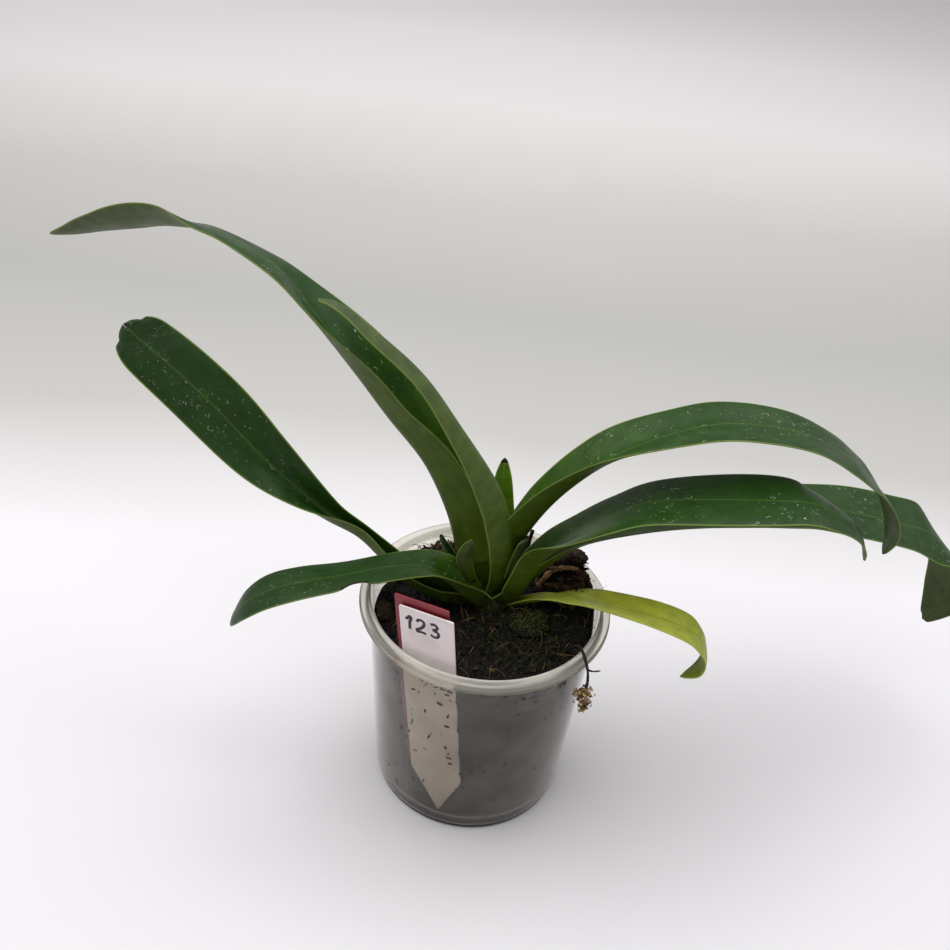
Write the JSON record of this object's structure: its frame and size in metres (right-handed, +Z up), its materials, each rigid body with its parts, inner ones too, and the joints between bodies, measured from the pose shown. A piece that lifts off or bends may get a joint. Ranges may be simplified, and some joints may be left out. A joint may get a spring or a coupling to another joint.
{
  "type": "potted paphiopedilum orchid",
  "caption": "Slipper orchid without flower: strap leaves in two rows from a short crown, in a clear tapered pot of bark mix with two labels.",
  "frame": {"origin": "centre of the pot's flat underside", "axes": "+Z up out of the pot, +X towards the side where the three long arching leaves reach out, +Y away from the labels"},
  "size_m": [0.3493, 0.1129, 0.2061],
  "materials": {
    "clear_plastic": "clear, slightly milky moulded polypropylene",
    "leaf": "leathery green blade with a soft wax sheen, paler margins and midrib",
    "young_leaf": "yellow-green younger blade with a soft sheen",
    "leaf_base": "green-brown stem wrapped in leaf bases",
    "bark": "rough damp conifer bark",
    "dry_root": "dry fibrous root",
    "moss": "soft moss cushion",
    "dry_plant": "dry plant stem and tuft",
    "white_plastic": "satin sheet plastic",
    "red_plastic": "satin sheet plastic",
    "potting_mix": "dark damp bark and fibre mix"
  },
  "bodies": {
    "root": {"pot": "clear_plastic", "crown": "leaf_base", "leaf_a_long": "leaf", "leaf_b_folded": "leaf", "leaf_c_broad": "leaf", "leaf_d_short": "leaf", "leaf_e_arched": "leaf", "leaf_f_creased": "leaf", "leaf_g_far": "leaf", "leaf_h_young": "young_leaf", "leaf_i_upright": "leaf", "leaf_j_stub": "leaf", "leaf_k_stub": "leaf", "leaf_l_sheath": "leaf", "bark_chip_1": "bark", "bark_chip_2": "bark", "bark_chip_3": "bark", "bark_chip_4": "bark", "bark_chip_5": "bark", "bark_chip_6": "bark", "bark_chip_7": "bark", "root_strip": "dry_root", "stick": "bark", "moss_patch": "moss", "dry_twig": "dry_plant", "label_white": "white_plastic", "label_red": "red_plastic", "substrate": "potting_mix"}
  },
  "joints": []
}
